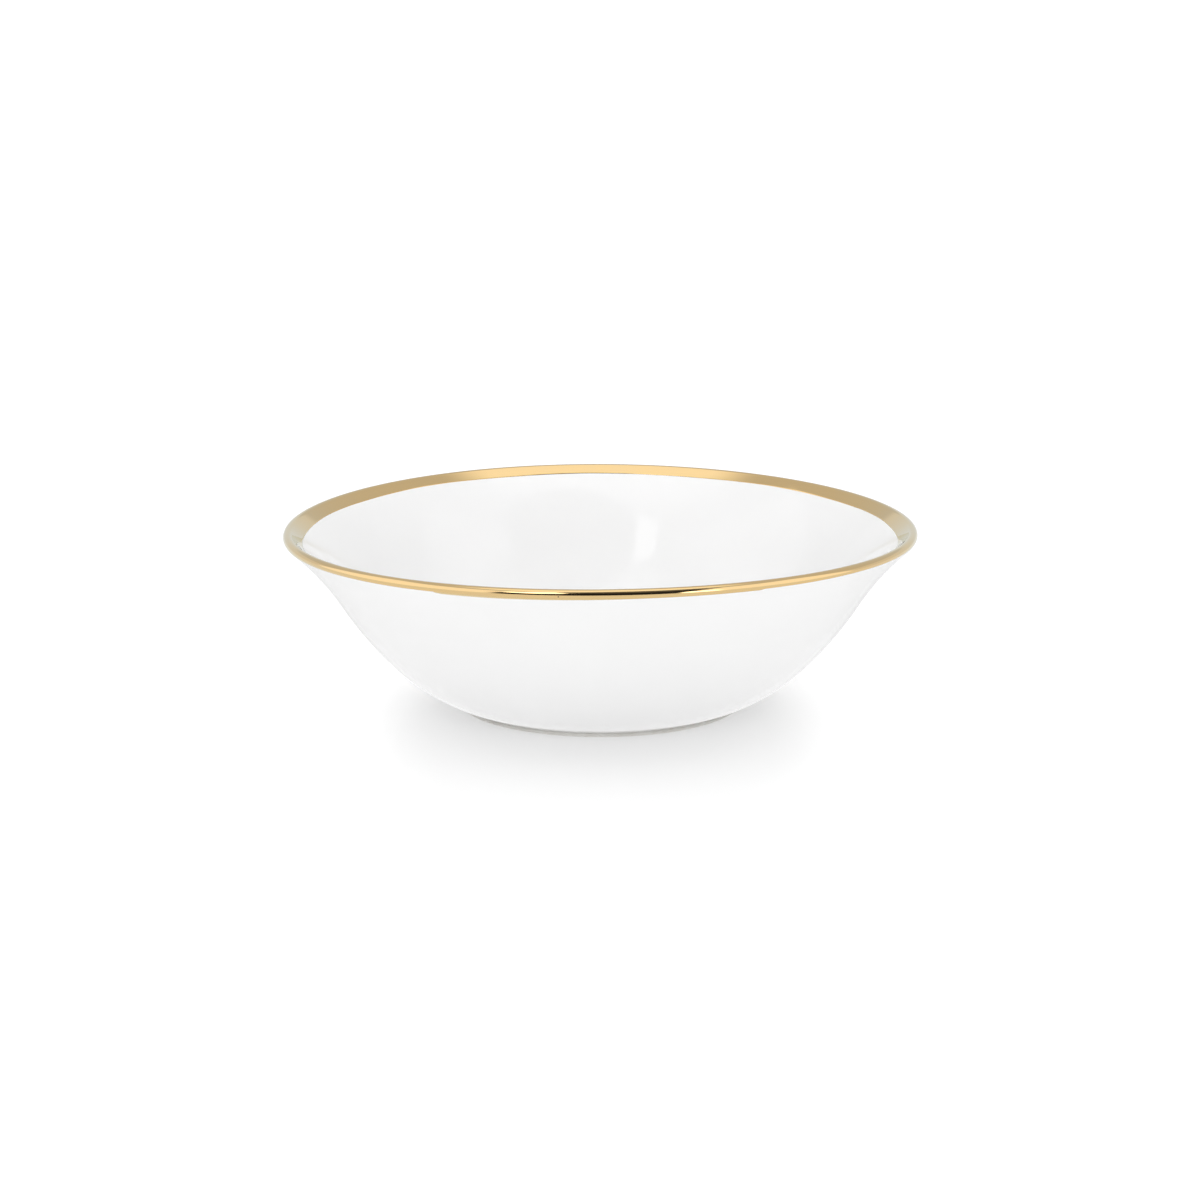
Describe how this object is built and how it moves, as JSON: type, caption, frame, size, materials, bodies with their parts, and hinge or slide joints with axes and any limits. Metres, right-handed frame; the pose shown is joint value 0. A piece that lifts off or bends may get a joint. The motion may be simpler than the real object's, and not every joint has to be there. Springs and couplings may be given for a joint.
{
  "type": "serving bowl",
  "caption": "Round white porcelain serving bowl with an outward flared, gold painted rim, a deep smooth well and a low bare foot ring.",
  "frame": {"origin": "centre of the foot ring's resting plane, on the bowl's axis", "axes": "+Z is the bowl's axis of symmetry and points up out of its mouth; -Y points to the front, where the second brush stroke of gold lies; +X is to the right seen from the front"},
  "size_m": [0.2302, 0.2302, 0.0666],
  "materials": {
    "porcelain": "fired white porcelain clay, wholly covered by glaze and foot",
    "bare_foot": "unglazed, ground smooth and matt",
    "glaze": "clear high gloss glaze over white",
    "base_glaze": "clear glaze over white, thinner and with fine pinholes",
    "gold": "bright fired gold with fine brush marks",
    "gold_stroke": "fired gold, thinner and a little duller"
  },
  "bodies": {
    "root": {"porcelain_body": "porcelain", "foot_ring": "bare_foot", "glaze_coat": "glaze", "base_glaze": "base_glaze", "gold_band": "gold", "gold_second_stroke": "gold_stroke"}
  },
  "joints": []
}
